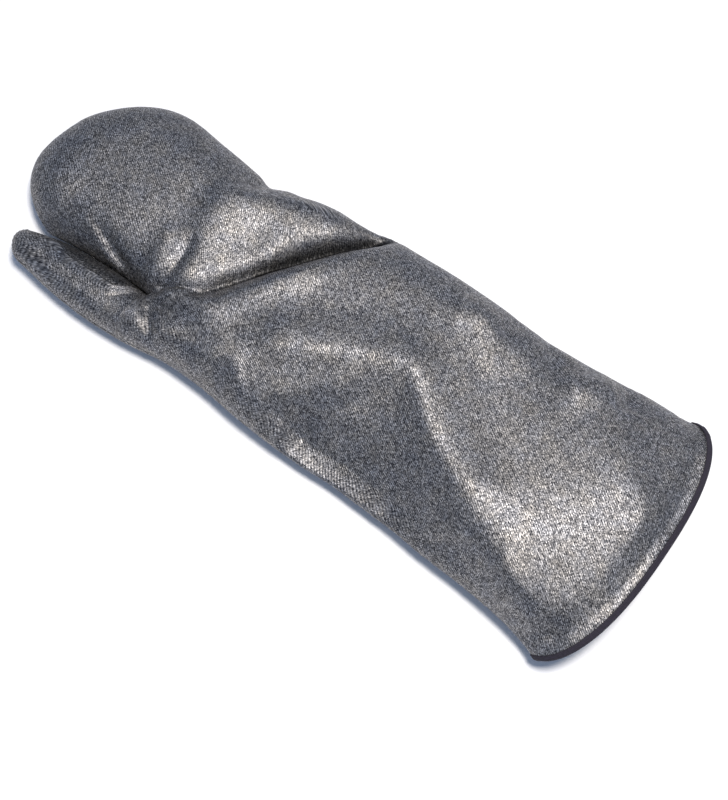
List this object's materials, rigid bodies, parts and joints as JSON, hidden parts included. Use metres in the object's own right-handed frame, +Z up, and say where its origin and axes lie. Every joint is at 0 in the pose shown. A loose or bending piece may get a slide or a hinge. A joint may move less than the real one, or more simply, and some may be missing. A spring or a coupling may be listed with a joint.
{
  "type": "insulated work mitt",
  "caption": "Padded heat-resistant work mitt: an open pocket for the fingers, a separate thumb, and a long flared gauntlet with a bound cuff, lying palm down.",
  "frame": {"origin": "centre of the glove's footprint, on the floor plane that the palm lies on", "axes": "+X from the thumb side to the little finger side, +Y from the cuff to the fingertips, +Z up, from the palm to the back of the hand"},
  "size_m": [0.2274, 0.6026, 0.0619],
  "materials": {
    "shell_cloth": "twill woven from silvery and black yarn, padded, softly metallic",
    "palm_cloth": "the same silver and black twill on the palm side, padded",
    "binding_tape": "black woven tape, dull"
  },
  "bodies": {
    "root": {"back_panel": "shell_cloth", "palm_panel": "palm_cloth", "cuff_binding": "binding_tape"}
  },
  "joints": []
}
